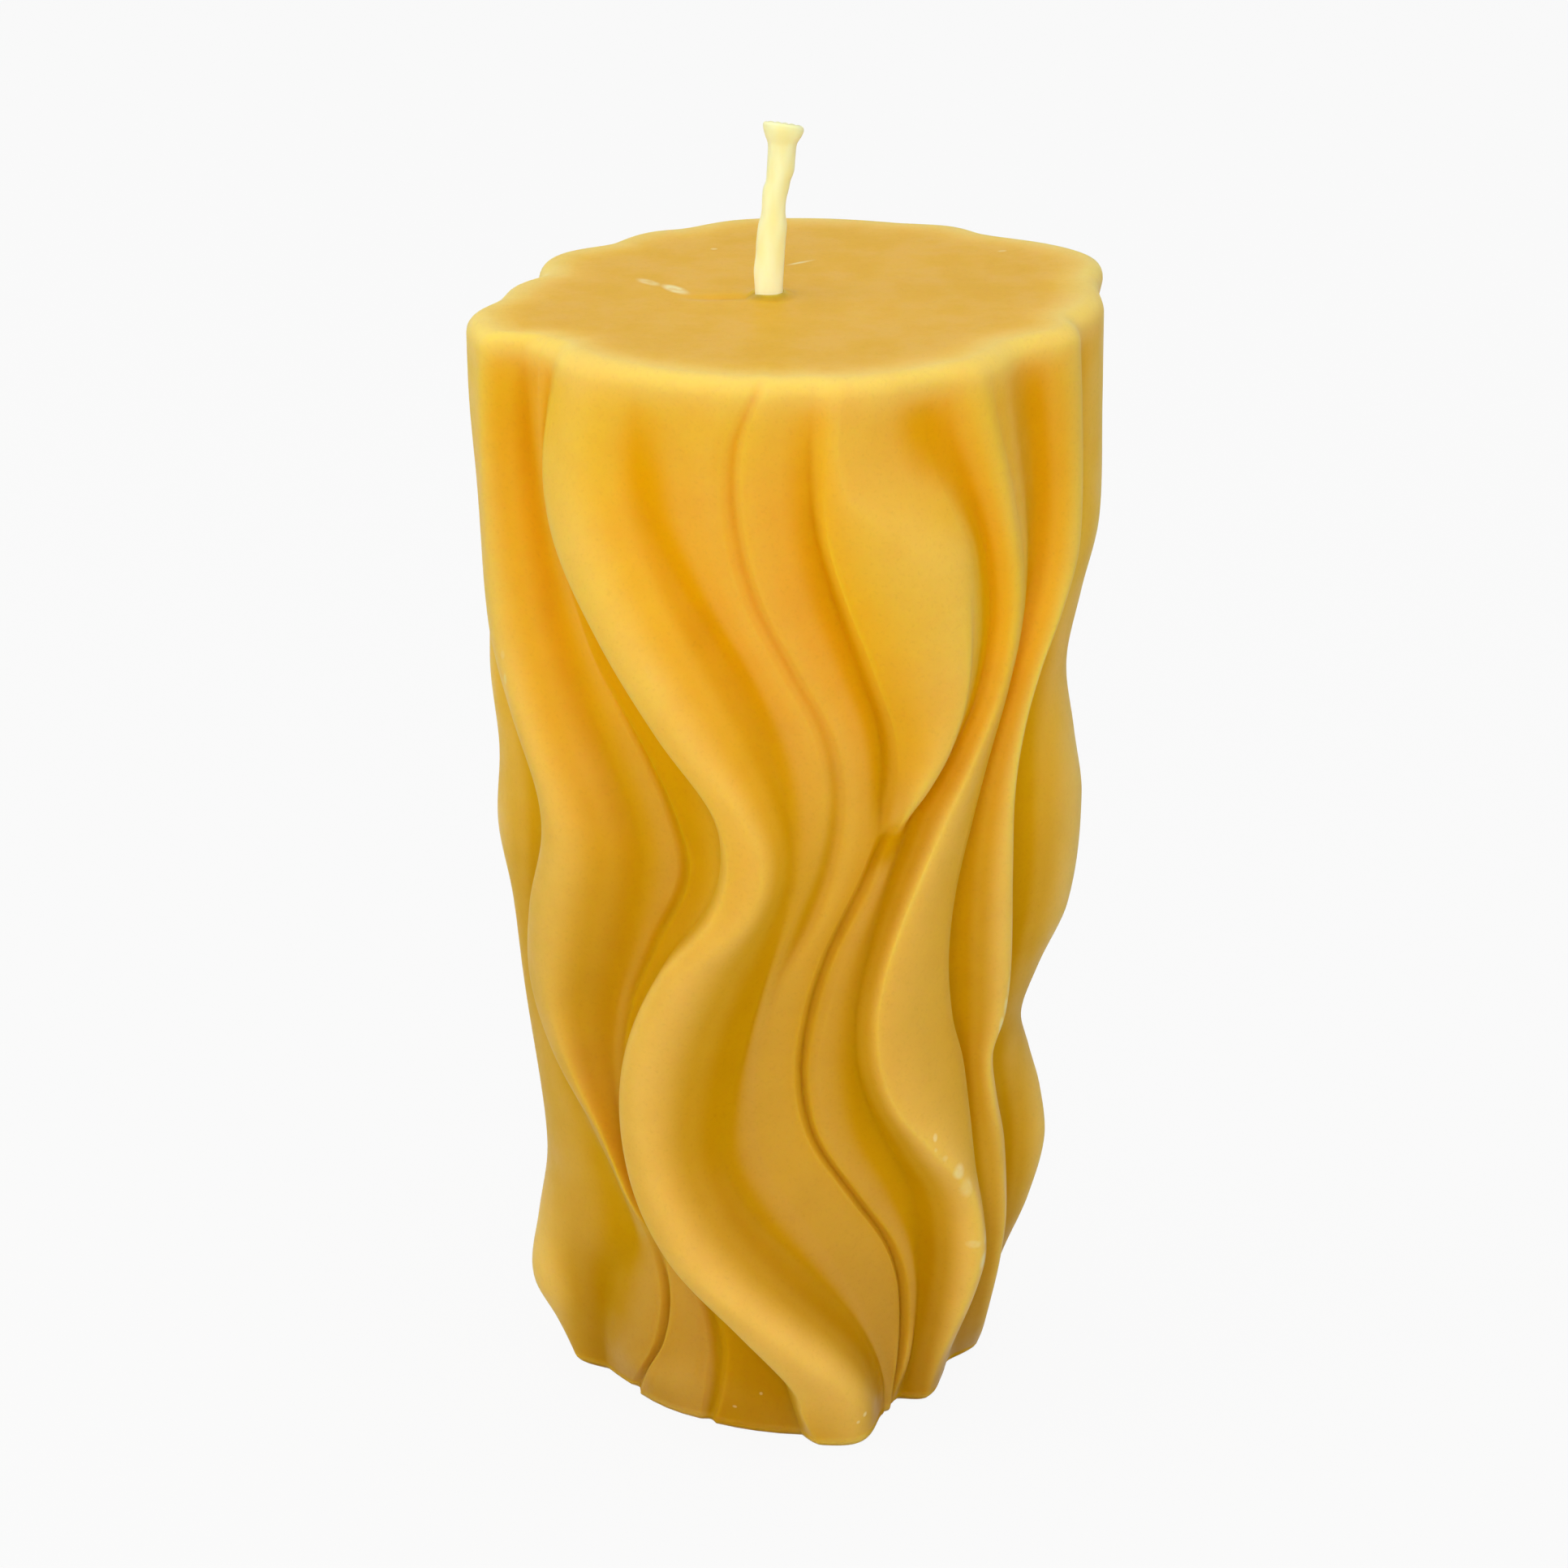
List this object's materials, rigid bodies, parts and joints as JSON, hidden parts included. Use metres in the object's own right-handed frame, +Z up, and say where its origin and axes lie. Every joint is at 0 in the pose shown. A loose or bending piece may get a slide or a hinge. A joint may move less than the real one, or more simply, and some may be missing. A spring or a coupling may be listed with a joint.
{
  "type": "pillar candle",
  "caption": "Cast beeswax pillar candle whose round side is sculpted into tall, flowing wavy folds, with a flat top and a braided cotton wick through its middle.",
  "frame": {"origin": "centre of the footprint on the surface that the candle stands on", "axes": "+Z up along the candle to the wick's cut end, -Y to the front that the picture shows, +X to the viewer's right"},
  "size_m": [0.0705, 0.0693, 0.1463],
  "materials": {
    "beeswax": "satin, softly translucent golden beeswax with a faint pale bloom",
    "waxed_cotton": "pale cream braided cotton stiffened with wax"
  },
  "bodies": {
    "root": {"wax_body": "beeswax", "wick": "waxed_cotton"}
  },
  "joints": []
}
